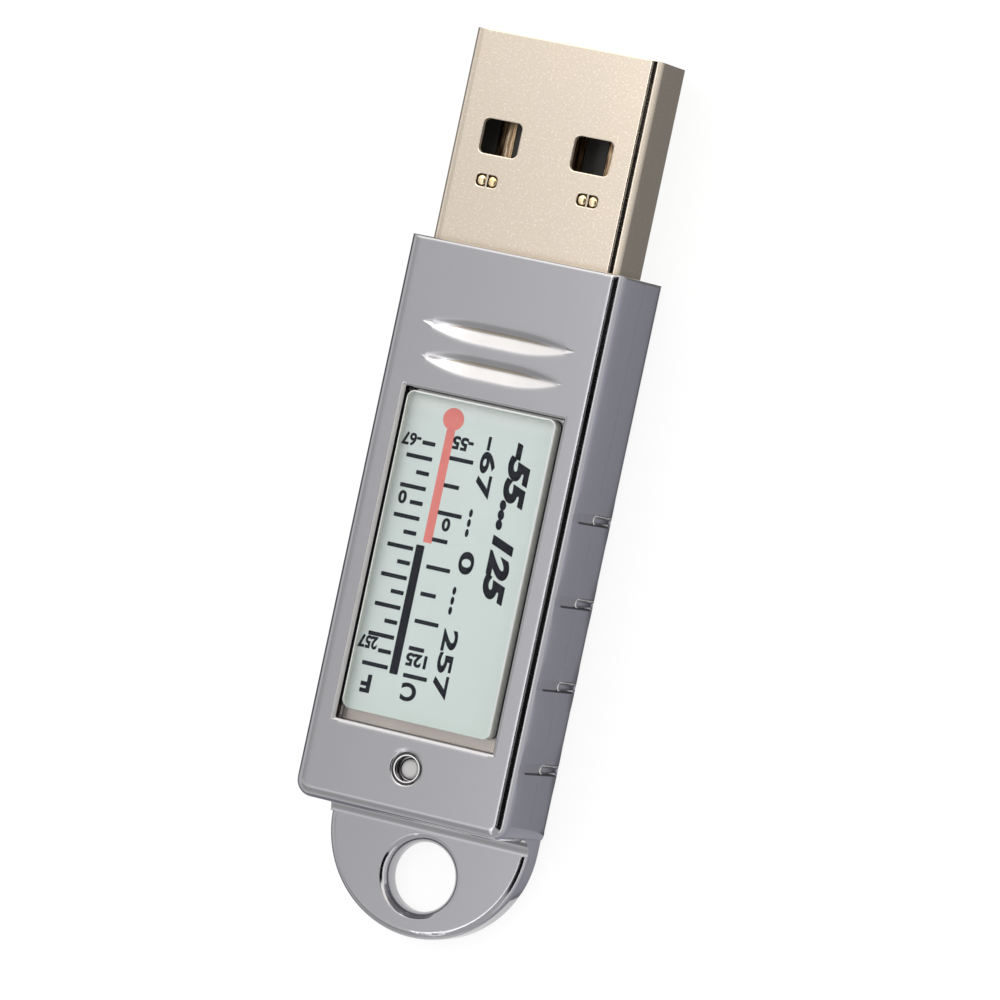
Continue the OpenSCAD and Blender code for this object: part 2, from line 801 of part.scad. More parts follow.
module insulating_sheet() {
    liner_w = inner_w - 2 * liner_play;
    liner_y = pin_ys[0];    // the rear bosses notch its two corners
    color("lightyellow") translate([0, 0, floor_wall]) linear_extrude(liner_t)
        difference() {
            translate([-liner_w / 2, liner_y])
                square([liner_w, board_y1 - liner_play - liner_y]);
            at_pins() circle(boss_r + liner_play);
        }
}

front_shell();
rear_shell();
label_tape();
label_sheet();
label_lens();
light_pipe();
status_led();
plug_shell();
plug_insulator();
contact_power();
contact_data_minus();
contact_data_plus();
contact_ground();
circuit_board();
microcontroller();
temperature_sensor();
memory_chip();
crystal();
resistors();
capacitors();
solder_joints();
insulating_sheet();
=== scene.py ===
# Stick thermometer: looks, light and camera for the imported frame.
# The scene is in metres, in the frame's own axes: +Y towards the plug's tip, +Z out of the
# display face, the floor at z = 0. Sizes on the part are in mm and are turned into metres
# with MM; cards, floor, lamp and camera are in metres.
import bpy
import bmesh
import math
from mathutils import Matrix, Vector


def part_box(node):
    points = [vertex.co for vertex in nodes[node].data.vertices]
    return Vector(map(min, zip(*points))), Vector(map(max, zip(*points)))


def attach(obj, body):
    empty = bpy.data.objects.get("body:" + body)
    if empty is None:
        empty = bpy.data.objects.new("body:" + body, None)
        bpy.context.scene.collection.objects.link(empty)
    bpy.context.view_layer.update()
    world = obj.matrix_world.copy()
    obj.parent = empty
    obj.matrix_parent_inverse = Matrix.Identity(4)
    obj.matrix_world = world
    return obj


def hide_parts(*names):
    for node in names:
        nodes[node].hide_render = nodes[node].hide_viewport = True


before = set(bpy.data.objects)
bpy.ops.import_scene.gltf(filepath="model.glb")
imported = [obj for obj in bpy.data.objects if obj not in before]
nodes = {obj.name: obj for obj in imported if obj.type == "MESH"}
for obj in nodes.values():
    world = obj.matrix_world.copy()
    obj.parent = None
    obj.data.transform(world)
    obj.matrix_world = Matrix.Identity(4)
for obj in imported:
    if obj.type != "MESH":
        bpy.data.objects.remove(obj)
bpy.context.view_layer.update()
MM = 0.001


def add_object(name, data):
    obj = bpy.data.objects.new(name, data)
    bpy.context.scene.collection.objects.link(obj)
    return obj


# ---------------------------------------------------------------- camera

# Fitted to the edges in the photo, with the plug at its standard size.
LENS, SENSOR = 236.851, 36
CAMERA_AT = (0.147178, 0.006444, 0.363640)
CAMERA_TURN = (3.910145, 21.827316, 13.019716)      # degrees
CLIP_NEAR, CLIP_FAR = 0.02, 20


def make_camera():
    data = bpy.data.cameras.new("camera")
    data.lens = LENS
    data.sensor_width = SENSOR
    data.sensor_fit = "HORIZONTAL"
    data.clip_start = CLIP_NEAR
    data.clip_end = CLIP_FAR
    cam = add_object("camera", data)
    cam.location = CAMERA_AT
    cam.rotation_euler = [math.radians(a) for a in CAMERA_TURN]
    bpy.context.scene.camera = cam


make_camera()
bpy.context.scene.view_settings.view_transform = "Standard"


# ---------------------------------------------------------------- node helpers

class Tree:
    """Short calls for building a node tree."""

    def __init__(self, tree):
        self.tree = tree
        tree.nodes.clear()

    def add(self, kind, settings=None, **inputs):
        """New node. An input goes by its socket's name, with _ for blanks, or i and a number."""
        node = self.tree.nodes.new(kind)
        for key, value in (settings or {}).items():
            setattr(node, key, value)
        for key, value in inputs.items():
            self.put(node, key, value)
        return node

    def put(self, node, key, value):
        for socket in node.inputs:
            if socket.enabled and socket.name.replace(" ", "_") == key:
                break
        else:
            socket = node.inputs[int(key[1:])]
        self.feed(socket, value)

    def feed(self, socket, value):
        """Link the socket to another node's output, or set it."""
        if isinstance(value, bpy.types.NodeSocket):
            self.tree.links.new(value, socket)
        elif socket.type == "RGBA" and len(value) == 3:
            socket.default_value = (*value, 1)
        else:
            socket.default_value = value

    def math(self, op, a, b=0.0):
        return self.add("ShaderNodeMath", {"operation": op}, i0=a, i1=b).outputs[0]

    def between(self, value, low, high):
        """1 where the value lies between low and high."""
        return self.math("MULTIPLY", self.math("GREATER_THAN", value, low),
                         self.math("LESS_THAN", value, high))

    def span(self, value, low, high, start=0.3, end=0.7):
        """Value from start to end, turned into low to high and held there beyond them."""
        return self.add("ShaderNodeMapRange", Value=value, From_Min=start, From_Max=end,
                        To_Min=low, To_Max=high).outputs[0]

    def place(self):
        """x, y and z in object coordinates."""
        here = self.add("ShaderNodeTexCoord").outputs["Object"]
        return self.add("ShaderNodeSeparateXYZ", Vector=here).outputs

    def noise(self, scale, detail, rough=0.5, stretch=None):
        """Noise in object coordinates; scale is in features per metre."""
        here = self.add("ShaderNodeTexCoord").outputs["Object"]
        if stretch:
            here = self.add("ShaderNodeMapping", Vector=here, Scale=stretch).outputs[0]
        return self.add("ShaderNodeTexNoise", Vector=here, Scale=scale, Detail=detail,
                        Roughness=rough).outputs[0]

    def blend(self, factor, a, b):
        node = self.add("ShaderNodeMix", {"data_type": "RGBA"})
        values = {("Factor", "VALUE"): factor, ("A", "RGBA"): a, ("B", "RGBA"): b}
        for socket in node.inputs:
            if (socket.name, socket.type) in values:
                self.feed(socket, values[socket.name, socket.type])
        return [o for o in node.outputs if o.type == "RGBA"][0]

    def bump(self, height, distance, normal=None):
        node = self.add("ShaderNodeBump", Strength=1.0, Distance=distance, Height=height)
        if normal is not None:
            self.put(node, "Normal", normal)
        return node.outputs[0]

    def seen(self):
        """1 on rays that show a thing: from the camera, off a shine or through a clear piece."""
        path = self.add("ShaderNodeLightPath").outputs
        bounced = self.math("MAXIMUM", path["Is Glossy Ray"], path["Is Transmission Ray"])
        return self.math("MAXIMUM", path["Is Camera Ray"], bounced)


def material(name):
    """New material, its tree and its shader. The tree keeps the output node as t.out."""
    mat = bpy.data.materials.new(name)
    mat.use_nodes = True
    t = Tree(mat.node_tree)
    shader = t.add("ShaderNodeBsdfPrincipled")
    t.out = t.add("ShaderNodeOutputMaterial", Surface=shader.outputs[0])
    return mat, t, shader


# ---------------------------------------------------------------- materials

def surface(name, colour, other, rough, patch, grain, relief, metallic=0.0, **sockets):
    """A surface whose colour and roughness drift in patches, with a fine grain in relief.
    patch and grain are in features per metre, relief is in metres."""
    mat, t, shader = material(name)
    drift = t.noise(patch, 4.0)
    fine = t.noise(grain, 2.0, 0.6)
    t.put(shader, "Base_Color", t.blend(t.span(drift, 0, 1), colour, other))
    shader.inputs["Metallic"].default_value = metallic
    t.put(shader, "Roughness", t.math("ADD", t.span(drift, *rough), t.span(fine, -0.02, 0.02)))
    t.put(shader, "Normal", t.bump(fine, relief))
    for key, value in sockets.items():
        shader.inputs[key.replace("_", " ")].default_value = value
    return mat


HOLLOW_SAMPLES, EDGE_SAMPLES = 6, 8
# Hollows take painted shade: a dark colour mixed in where little open sky is seen.
HOLLOW_SHARE = 0.6                  # how much of the deep colour a closed hollow takes
HOLLOW_CLOSED = 0.2                 # share of open sky under which a hollow is closed
FACES_UP = 0.85                     # least z of a normal that counts as facing up
SPECK_COLOUR = (1.0, 0.94, 0.85)


def plating(name, colour, other, rough, patch, grain, relief, soft, hollow, hollow_shade, edges, tone_zones,
            specks=0.0):
    """Plated metal whose edges catch the light over a radius of soft, in mm.

    hollow is a width in mm and the share of open sky above which nothing darkens; narrower
    hollows take a painted shade colour. edges has rows of a radius in mm and a zone: there,
    faces that look up use that radius. Tone zones are rows of a colour, added roughness and
    a zone; most of them paint shade, highlights or reflections into the metal, a few mark
    bare metal. A zone is x, y and z, each from and to, in mm, and where it repeats along y
    a pitch and a count. It holds on both sides, or on the left alone where its x starts
    below zero."""
    mat, t, shader = material(name)
    x, y, z = t.place()
    normal = t.add("ShaderNodeNewGeometry").outputs["True Normal"]
    facing = t.add("ShaderNodeSeparateXYZ", Vector=normal).outputs[2]
    drift = t.noise(patch, 4.0)
    fine = t.noise(grain, 2.0, 0.6)
    tint = t.blend(t.span(drift, 0, 1), colour, other)
    if specks:
        dots = t.span(t.noise(grain * 0.55, 1.0, 0.4), 0, 1, 0.58, 0.70)
        tint = t.blend(t.math("MULTIPLY", dots, specks), tint, SPECK_COLOUR)
    width, clear = hollow
    # Painted shade: the less open sky a point sees, the more of the dark hollow colour it takes.
    sky_seen = t.add("ShaderNodeAmbientOcclusion", {"samples": HOLLOW_SAMPLES},
                     Distance=width * MM).outputs["AO"]
    tint = t.blend(t.span(sky_seen, HOLLOW_SHARE, 0, HOLLOW_CLOSED, clear), tint, hollow_shade)
    dull = t.math("ADD", t.span(drift, *rough), t.span(fine, -0.015, 0.015))
    sideways = t.math("ABSOLUTE", x)

    def within(x0, x1, y0, y1, z0, z1, pitch=0, count=1):
        """1 inside a zone."""
        spot = t.between(x if x0 < 0 else sideways, x0 * MM, x1 * MM)
        spot = t.math("MULTIPLY", spot, t.between(z, z0 * MM, z1 * MM))
        if not pitch:
            return t.math("MULTIPLY", spot, t.between(y, y0 * MM, y1 * MM))
        reach = t.between(y, y0 * MM, (y1 + pitch * (count - 1)) * MM)
        spot = t.math("MULTIPLY", spot, reach)
        step = t.math("FLOORED_MODULO", t.math("SUBTRACT", y, y0 * MM), pitch * MM)
        return t.math("MULTIPLY", spot, t.math("LESS_THAN", step, (y1 - y0) * MM))

    # Each zone lays its colour over the metal, mostly as painted shade, highlight or reflection.
    for zone_tone, dullness, *zone in tone_zones:
        here = within(*zone)
        tint = t.blend(here, tint, zone_tone)
        dull = t.math("ADD", dull, t.math("MULTIPLY", here, dullness))
    t.put(shader, "Base_Color", tint)
    shader.inputs["Metallic"].default_value = 1.0
    t.put(shader, "Roughness", dull)
    upward = t.math("GREATER_THAN", facing, FACES_UP)
    radius = soft * MM
    for own, *zone in edges:
        here = t.math("MULTIPLY", upward, within(*zone))
        radius = t.math("ADD", radius, t.math("MULTIPLY", here, own * MM - soft * MM))
    edge = t.add("ShaderNodeBevel", {"samples": EDGE_SAMPLES}, Radius=radius).outputs[0]
    t.put(shader, "Normal", t.bump(fine, relief, edge))
    return mat


NOTCH_Y, NOTCH_PITCH, NOTCH_COUNT = -15.175, 5, 4       # the grip notches on each side

# Rows of a radius and a zone, as plating takes them.
HOUSING_EDGES = [
    (0.22, 5.7, 7.0, -20, 15, 7.05, 7.5),       # long edges of the display face
    (0.40, 0, 4.3, 6.0, 10.8, 7.05, 7.5),       # thumb grooves
    (0.45, 0, 4.9, -15.9, -14.6, 7.3, 7.5),     # recess's end towards the lug
    (0.20, 0, 5.7, 5.25, 6.0, 7.3, 7.5),        # recess's end towards the plug
    (0.18, 0, 5.7, 13.0, 15, 7.3, 7.5)]         # the face's end at the plug
PLUG_EDGES = [
    (0.10, 0, 5.2, 14, 27, 6.30, 6.5)]          # windows and tangs in the plug's face

# Rows of a colour, added roughness and a zone. On the housing all of them are painted light:
# painted shade, highlights and a painted reflection.
HOUSING_PAINTED_LIGHT = [
    # foot of the flank towards the plug, in both thumb grooves: painted brown shade by the
    # crease
    ((0.29, 0.26, 0.225), 0.04, 0, 4.6, 9.2, 9.6, 7.05, 7.20),
    ((0.29, 0.26, 0.225), 0.04, 0, 4.2, 7.2, 7.6, 7.05, 7.20),
    # left side of the recess: its rounded edge, rougher and a little lighter, its wall painted
    # black as shade, and a painted highlight near the lug
    ((0.44, 0.44, 0.44), 0.5, -5.40, -5.12, -14.8, 5.3, 7.2, 7.45),
    ((0.02, 0.02, 0.02), 0.1, -5.14, -5.05, -14.7, 5.25, 6.9, 7.345),
    ((0.85, 0.84, 0.83), 0.4, -5.10, -5.05, -14.55, -14.0, 6.62, 6.88),
    # floor of the recess beyond the plate, at the lug's end: lighter and warm, a painted
    # reflection
    ((0.62, 0.57, 0.54), 0.4, 0, 5.06, -14.68, -13.9, 6.3, 6.42),
    # notches: the ramp a little darker, its edge towards the lug and the channel's edge towards
    # the plug dark, all painted shade
    ((0.345, 0.345, 0.347), 0.05, 6.5, 7.0, -15.475, -14.875, 3.75, 6.4,
     NOTCH_PITCH, NOTCH_COUNT),
    ((0.02, 0.02, 0.02), 0.05, 6.5, 7.0, -15.55, -15.42, 1.2, 6.0,
     NOTCH_PITCH, NOTCH_COUNT),
    ((0.05, 0.05, 0.05), 0.05, 6.5, 7.0, -14.92, -14.86, 0.8, 3.2,
     NOTCH_PITCH, NOTCH_COUNT)]
PLUG_BARE_AND_SHADE = [
    ((0.75, 0.68, 0.58), 0.45, 0, 5.0, 19.2, 22.1, 5.9, 6.31),      # walls of the windows
    # The tangs' floors below are painted near black as shade.
    ((0.06, 0.04, 0.02), 0.3, 2.2, 4.3, 17.4, 18.7, 5.9, 6.28)]     # floors of the tangs

chrome = plating("satin_chrome", (0.395, 0.393, 0.412), (0.375, 0.373, 0.392),
                 rough=(0.10, 0.14), patch=260, grain=9000, relief=0.3e-6, soft=0.06,
                 hollow=(0.35, 0.7), hollow_shade=(0.14, 0.125, 0.11),
                 edges=HOUSING_EDGES, tone_zones=HOUSING_PAINTED_LIGHT)
champagne = plating("champagne_plating", (0.69, 0.602, 0.502), (0.66, 0.57, 0.468),
                    rough=(0.11, 0.15), patch=420, grain=14000, relief=1.0e-6, soft=0.05,
                    hollow=(0.7, 0.82), hollow_shade=(0.25, 0.15, 0.05),
                    edges=PLUG_EDGES, tone_zones=PLUG_BARE_AND_SHADE, specks=0.24)


def streaked_gold(name):
    """Contact plating in streaks along the strips: dark streaks of painted shade, bright streaks
    of painted highlight, and roughness that follows them.
    """
    mat, t, shader = material(name)
    streak = t.noise(4200, 3.0, 0.7, stretch=(1, 0.05, 1))
    # The near-black tone is painted shade under the shell; the near-white is a painted
    # highlight.
    tone = t.span(streak, 0, 1, 0.42, 0.62)
    warm = t.blend(tone, (0.05, 0.028, 0.018), (0.62, 0.44, 0.27))
    bright = t.span(streak, 0, 0.8, 0.58, 0.68)
    t.put(shader, "Base_Color", t.blend(bright, warm, (0.9, 0.84, 0.78)))
    shader.inputs["Metallic"].default_value = 1.0
    t.put(shader, "Roughness", t.span(streak, 0.4, 0.22))
    t.put(shader, "Normal", t.bump(streak, 8e-6))
    return mat


def pale_film(name):
    """Label film, with painted shade greying it towards its left edge and a painted highlight
    making it paler beside its end at the plug.
    """
    mat, t, shader = material(name)
    x, y, _ = t.place()
    drift = t.noise(180, 4.0)
    # Painted shade towards the left edge, painted highlight beside the end at the plug.
    left_shade = t.span(x, 0, 1, -4.6 * MM, -2.0 * MM)
    plug_end_sheen = t.span(y, 0, 1, 3.9 * MM, 4.6 * MM)
    base = t.blend(left_shade, (0.640, 0.668, 0.672), (0.655, 0.697, 0.692))
    base = t.blend(plug_end_sheen, base, (0.735, 0.750, 0.752))
    t.put(shader, "Base_Color", t.blend(t.span(drift, 0, 0.05), base, (0.5, 0.55, 0.55)))
    t.put(shader, "Roughness", t.span(drift, 0.35, 0.42))
    t.put(shader, "Normal", t.bump(t.noise(20000, 2.0), 0.6e-6))
    return mat


def clear_plate(name, colour, other):
    """Clear plate that lets light through to the print under it."""
    mat, t, shader = material(name)
    drift = t.noise(250, 3.0)
    t.put(shader, "Base_Color", t.blend(t.span(drift, 0, 1), colour, other))
    shader.inputs["Specular Tint"].default_value = (0.3, 0.3, 0.3, 1)
    t.put(shader, "Roughness", t.span(drift, 0.015, 0.04))
    shader.inputs["Transmission Weight"].default_value = 1.0
    shader.inputs["IOR"].default_value = 1.40
    t.put(shader, "Normal", t.bump(t.noise(700, 2.0), 0.4e-6))
    path = t.add("ShaderNodeLightPath").outputs
    through = t.add("ShaderNodeBsdfTransparent", Color=(0.95, 0.975, 0.965))
    either = t.math("MAXIMUM", path["Is Shadow Ray"], path["Is Diffuse Ray"])
    mix = t.add("ShaderNodeMixShader", i0=either, i1=shader.outputs[0], i2=through.outputs[0])
    t.feed(t.out.inputs[0], mix.outputs[0])
    return mat


gold = streaked_gold("gold_plating")
film = pale_film("label_film")
pad_gold = surface("pad_gold", (0.90, 0.78, 0.56), (0.84, 0.60, 0.30),
                   rough=(0.14, 0.24), patch=2600, grain=9000, relief=1e-6, metallic=1.0)
black_plastic = surface("black_plastic", (0.016, 0.015, 0.015), (0.024, 0.022, 0.02),
                        rough=(0.42, 0.55), patch=900, grain=16000, relief=2e-6)
tape = surface("tape", (0.55, 0.50, 0.40), (0.50, 0.45, 0.36),
               rough=(0.55, 0.65), patch=700, grain=9000, relief=2e-6)
milky = surface("milky_plastic", (0.60, 0.59, 0.585), (0.56, 0.545, 0.54),
                rough=(0.18, 0.26), patch=1500, grain=9000, relief=0.6e-6)
led_white = surface("led_body", (0.82, 0.79, 0.70), (0.78, 0.74, 0.62),
                    rough=(0.2, 0.3), patch=2500, grain=16000, relief=1e-6)
board_mask = surface("board_mask", (0.012, 0.10, 0.035), (0.010, 0.085, 0.03),
                     rough=(0.25, 0.35), patch=600, grain=5000, relief=3e-6)
chip_black = surface("chip_package", (0.018, 0.018, 0.02), (0.026, 0.026, 0.028),
                     rough=(0.45, 0.6), patch=1500, grain=18000, relief=3e-6)
can_metal = surface("crystal_can", (0.60, 0.60, 0.58), (0.54, 0.54, 0.52),
                    rough=(0.22, 0.3), patch=1200, grain=12000, relief=1e-6, metallic=1.0)
resistor_black = surface("resistor_film", (0.02, 0.02, 0.022), (0.035, 0.033, 0.032),
                         rough=(0.3, 0.45), patch=2500, grain=18000, relief=1e-6)
capacitor_tan = surface("capacitor_ceramic", (0.27, 0.155, 0.065), (0.23, 0.13, 0.055),
                        rough=(0.4, 0.5), patch=2500, grain=18000, relief=1e-6)
solder_metal = surface("solder", (0.55, 0.56, 0.57), (0.47, 0.48, 0.49),
                       rough=(0.2, 0.35), patch=2500, grain=12000, relief=2e-6, metallic=1.0)
liner_film = surface("amber_film", (0.60, 0.36, 0.06), (0.55, 0.31, 0.05),
                     rough=(0.2, 0.3), patch=500, grain=9000, relief=1e-6)
ink_black = surface("ink_black", (0.008, 0.009, 0.016), (0.014, 0.015, 0.023),
                    rough=(0.55, 0.65), patch=1500, grain=26000, relief=0.5e-6,
                    Specular_IOR_Level=0.12)
ink_red = surface("ink_red", (0.67, 0.162, 0.142), (0.63, 0.145, 0.127),
                  rough=(0.4, 0.5), patch=1500, grain=26000, relief=0.5e-6)
ink_navy = surface("ink_navy", (0.006, 0.0065, 0.012), (0.010, 0.011, 0.018),
                   rough=(0.55, 0.65), patch=1500, grain=26000, relief=0.5e-6,
                   Specular_IOR_Level=0.12)
plate = clear_plate("clear_plate", (0.985, 0.99, 0.985), (0.97, 0.985, 0.975))
# Opaque pale tones for the plate: a painted sheen on its bevel, and on its sides the edge's
# olive tone made light as painted light coming through the plate.
plate_edge = surface("plate_edge", (0.80, 0.82, 0.81), (0.76, 0.785, 0.775),
                     rough=(0.2, 0.3), patch=900, grain=9000, relief=1e-6)
plate_side = surface("plate_side", (0.88, 0.89, 0.80), (0.82, 0.83, 0.74),
                     rough=(0.25, 0.35), patch=900, grain=9000, relief=1e-6)
# Near-white beads that paint highlights along edges.
bare_edge = surface("bare_edge", (0.97, 0.965, 0.96), (0.91, 0.905, 0.90),
                    rough=(0.2, 0.3), patch=1800, grain=9000, relief=1e-6, metallic=0.05)

# What each CAD node's own object wears.
for name, mat in (
        ("front_shell", chrome), ("rear_shell", chrome), ("label_tape", tape),
        ("label_sheet", film), ("light_pipe", milky), ("status_led", led_white),
        ("plug_shell", champagne), ("plug_insulator", black_plastic),
        ("contact_power", gold), ("contact_data_minus", gold), ("contact_data_plus", gold),
        ("contact_ground", gold), ("circuit_board", board_mask),
        ("microcontroller", chip_black), ("temperature_sensor", chip_black),
        ("memory_chip", chip_black), ("crystal", can_metal),
        ("resistors", resistor_black), ("capacitors", capacitor_tan),
        ("solder_joints", solder_metal), ("insulating_sheet", liner_film)):
    for slot in nodes[name].material_slots:
        slot.material = mat


# ---------------------------------------------------------------- mesh helpers

def piece(name, mesh, mat, replaced=()):
    """New piece of the part, in one material."""
    obj = add_object(name, mesh)
    mesh.materials.clear()
    mesh.materials.append(mat)
    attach(obj, "root")
    if replaced:
        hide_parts(*replaced)
    return obj


def mesh_of(name, verts, faces):
    """Flat-shaded mesh with its faces turned outwards."""
    mesh = bpy.data.meshes.new(name)
    mesh.from_pydata([tuple(v) for v in verts], [], faces)
    bm = bmesh.new()
    bm.from_mesh(mesh)
    bmesh.ops.recalc_face_normals(bm, faces=bm.faces)
    bm.to_mesh(mesh)
    bm.free()
    return mesh


def smooth_sides(mesh):
    """Smooth shading on all but the end faces of a loft."""
    for face in mesh.polygons:
        face.use_smooth = len(face.vertices) == 4


def slab(outline, z0, z1, verts, faces):
    """Closed slab over a flat outline, added to verts and faces."""
    n, start = len(outline), len(verts)
    verts += [(x, y, z0) for x, y in outline] + [(x, y, z1) for x, y in outline]
    faces.append([start + i for i in reversed(range(n))])
    faces.append([start + n + i for i in range(n)])
    for i in range(n):
        j = (i + 1) % n
        faces.append([start + i, start + j, start + n + j, start + n + i])


def ring_loft(name, rings, capped=True):
    """Surface through rings of equal count, capped at both ends."""
    verts, faces = [], []
    n = len(rings[0])
    for ring in rings:
        verts += ring
    for k in range(len(rings) - 1):
        for i in range(n):
            j = (i + 1) % n
            faces.append([k * n + i, k * n + j, (k + 1) * n + j, (k + 1) * n + i])
    if capped:
        faces.append(list(range(n)))
        faces.append([len(verts) - n + i for i in range(n)])
    return mesh_of(name, verts, faces)


def round_rect(cx, cy, w, h, r, steps=8):
    points = []
    for qx, qy, a in ((1, 1, 0), (-1, 1, 90), (-1, -1, 180), (1, -1, 270)):
        for i in range(steps + 1):
            t = math.radians(a + 90 * i / steps)
            points.append((cx + qx * (w / 2 - r) + r * math.cos(t),
                           cy + qy * (h / 2 - r) + r * math.sin(t)))
    return points


def circle(cx, cy, r):
    return [(cx + r * math.cos(math.radians(a)), cy + r * math.sin(math.radians(a)))
            for a in range(0, 360, 6)]


# ---------------------------------------------------------------- label print

SHEET_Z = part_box("label_sheet")[1].z
INK_TOP = SHEET_Z + 0.006 * MM
INK_FOOT = SHEET_Z - 0.002 * MM     # a little way into the film, so that no gap shows
PRINT_DX = -0.176 * MM              # the clear plate makes the print look less deep
TICK_W, TICK_R = 0.25, 0.03
BULB_X, BULB_Y, BULB_R = -1.75, 3.885, 0.67
RED_COLUMN = (-1.76, -0.145, 0.55, 6.78, 0.03, 3)       # as round_rect takes them
DARK_COLUMN = (-2.13, -7.635, 0.54, 7.76, 0.05, 3)


def print_slabs(name, outlines, mat):
    verts, faces = [], []
    for outline in outlines:
        slab([(x * MM + PRINT_DX, y * MM) for x, y in outline], INK_FOOT, INK_TOP, verts, faces)
    piece(name, mesh_of(name, verts, faces), mat)


def ticks(x0, even, odd, top, pitch, count):
    """Outlines of tick marks from x0 on, one every pitch down from top, of two lengths."""
    outlines = []
    for i in range(count):
        x1 = x0 + (odd if i % 2 else even)
        outlines.append(round_rect((x0 + x1) / 2, top - pitch * i, abs(x1 - x0), TICK_W,
                                   TICK_R, 2))
    return outlines


print_slabs("scale_ticks_left",
            ticks(x0=-2.55, even=-0.84, odd=-1.68, top=2.185, pitch=0.894, count=16), ink_black)
print_slabs("scale_ticks_right",
            ticks(x0=-1.5, even=1.55, odd=1.0, top=1.625, pitch=1.63, count=9), ink_black)
print_slabs("scale_bulb", [circle(BULB_X, BULB_Y, BULB_R)], ink_red)
print_slabs("scale_red_column", [round_rect(*RED_COLUMN)], ink_red)
print_slabs("scale_dark_column", [round_rect(*DARK_COLUMN)], ink_navy)


def figures(name, text, x, y, height, turn, weight, shear=0.0, width=None):
    """Printed figures, centred on x and y, height mm tall, turned by turn degrees. weight
    thickens the strokes, shear slants them, and width stretches the line to that many mm."""
    curve = bpy.data.curves.new(name, "FONT")
    curve.body = text
    curve.align_x = "CENTER"
    curve.align_y = "CENTER"
    curve.size = 1.0
    curve.shear = shear
    curve.offset = weight
    curve.resolution_u = 6
    holder = add_object(name, curve)
    bpy.context.view_layer.update()
    shown = holder.evaluated_get(bpy.context.evaluated_depsgraph_get())
    mesh = bpy.data.meshes.new_from_object(shown)
    bpy.data.objects.remove(holder)
    bpy.data.curves.remove(curve)
    xs = [v.co.x for v in mesh.vertices]
    ys = [v.co.y for v in mesh.vertices]
    tall = height * MM / (max(ys) - min(ys))
    wide = width * MM / (max(xs) - min(xs)) if width else tall
    mx, my = (max(xs) + min(xs)) / 2, (max(ys) + min(ys)) / 2
    c, s = math.cos(math.radians(turn)), math.sin(math.radians(turn))
    bm = bmesh.new()
    bm.from_mesh(mesh)
    bmesh.ops.remove_doubles(bm, verts=bm.verts, dist=1e-5)
    for v in bm.verts:
        u, w = (v.co.x - mx) * wide, (v.co.y - my) * tall
        v.co = (x * MM + PRINT_DX + u * c - w * s, y * MM + u * s + w * c, INK_TOP)
    grown = bmesh.ops.extrude_face_region(bm, geom=bm.faces[:])
    for g in grown["geom"]:
        if isinstance(g, bmesh.types.BMVert):
            g.co.z = INK_FOOT
    bmesh.ops.recalc_face_normals(bm, faces=bm.faces)
    bm.to_mesh(mesh)
    bm.free()
    mesh.name = name
    piece(name, mesh, ink_black)


# The last two rows carry the measuring range in plain figures.
for row in (
        ("figure_low_f", "-67", -4.11, 2.235, 0.80, 180, 0.035, 0, 1.24),
        ("figure_zero_f", "0", -3.91, -1.205, 0.80, 180, 0.045),
        ("figure_high_f", "257", -4.14, -9.975, 0.80, 180, 0.045, 0, 1.24),
        ("figure_unit_f", "F", -3.72, -12.405, 1.1, 180, 0.045),
        ("figure_low_c", "-55", -0.84, 2.585, 0.80, 180, 0.045),
        ("figure_zero_c", "0", -0.82, -2.265, 0.80, 180, 0.045),
        ("figure_high_c", "125", -0.87, -10.445, 0.80, 180, 0.045),
        ("figure_unit_c", "C", -0.94, -12.355, 1.1, 180, 0.045),
        ("figure_range_c", "-55...125", 2.97, -1.42, 1.45, 270, 0.055, 0.25, 9.6),
        ("figure_range_f", "-67 ... 0 ... 257", 0.95, -4.51, 1.0, 270, 0.03, 0, 15.7)):
    figures(*row)


# ---------------------------------------------------------------- clear plate

PLATE_BEVEL, PLATE_CORNER = 0.1 * MM, 0.5 * MM
SIDE_NORMAL, TOP_NORMAL = 0.3, 0.93     # z of a normal: sides are under, the top is over
LUG_END_NORMAL = -0.3                   # y of a normal: the bevel at the lug's end is under


def make_plate():
    low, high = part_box("label_lens")
    cx, cy = (low.x + high.x) / 2, (low.y + high.y) / 2
    w, h = high.x - low.x, high.y - low.y
    levels = [(0, low.z), (0, high.z - PLATE_BEVEL),
              (PLATE_BEVEL * 0.12, high.z - PLATE_BEVEL * 0.7),
              (PLATE_BEVEL * 0.7, high.z - PLATE_BEVEL * 0.12), (PLATE_BEVEL, high.z)]
    rings = [[(x, y, z) for x, y in round_rect(cx, cy, w - 2 * inset, h - 2 * inset,
                                               PLATE_CORNER - inset * 0.6)]
             for inset, z in levels]
    obj = piece("clear_plate", ring_loft("clear_plate", rings), plate,
                ("label_lens",))
    obj.data.materials.append(plate_side)
    obj.data.materials.append(plate_edge)
    # The sides take the pale tone of painted light through the plate; the bevel, save at the
    # lug's end, takes the painted sheen.
    for face in obj.data.polygons:
        if abs(face.normal.z) < SIDE_NORMAL:
            face.material_index = 1
        elif abs(face.normal.z) < TOP_NORMAL and face.normal.y > LUG_END_NORMAL:
            face.material_index = 2


make_plate()


# ---------------------------------------------------------------- pads of the tangs

TANG_X, TANG_Y, TANG_Z = 3.25, 18.025, 6.17     # middle and floor of a tang
PAD_W, PAD_L, PAD_H, PAD_R = 0.54, 0.62, 0.165, 0.25
PAD_DX = 0.35                                   # from the tang's middle to the pad's
PAD_TAPER = 0.35                                # how much a pad narrows
PAD_LEVELS = [(0, -0.02), (0, 0.55), (0.03, 0.78), (0.09, 0.94), (0.19, 1.0)]   # inset, rise


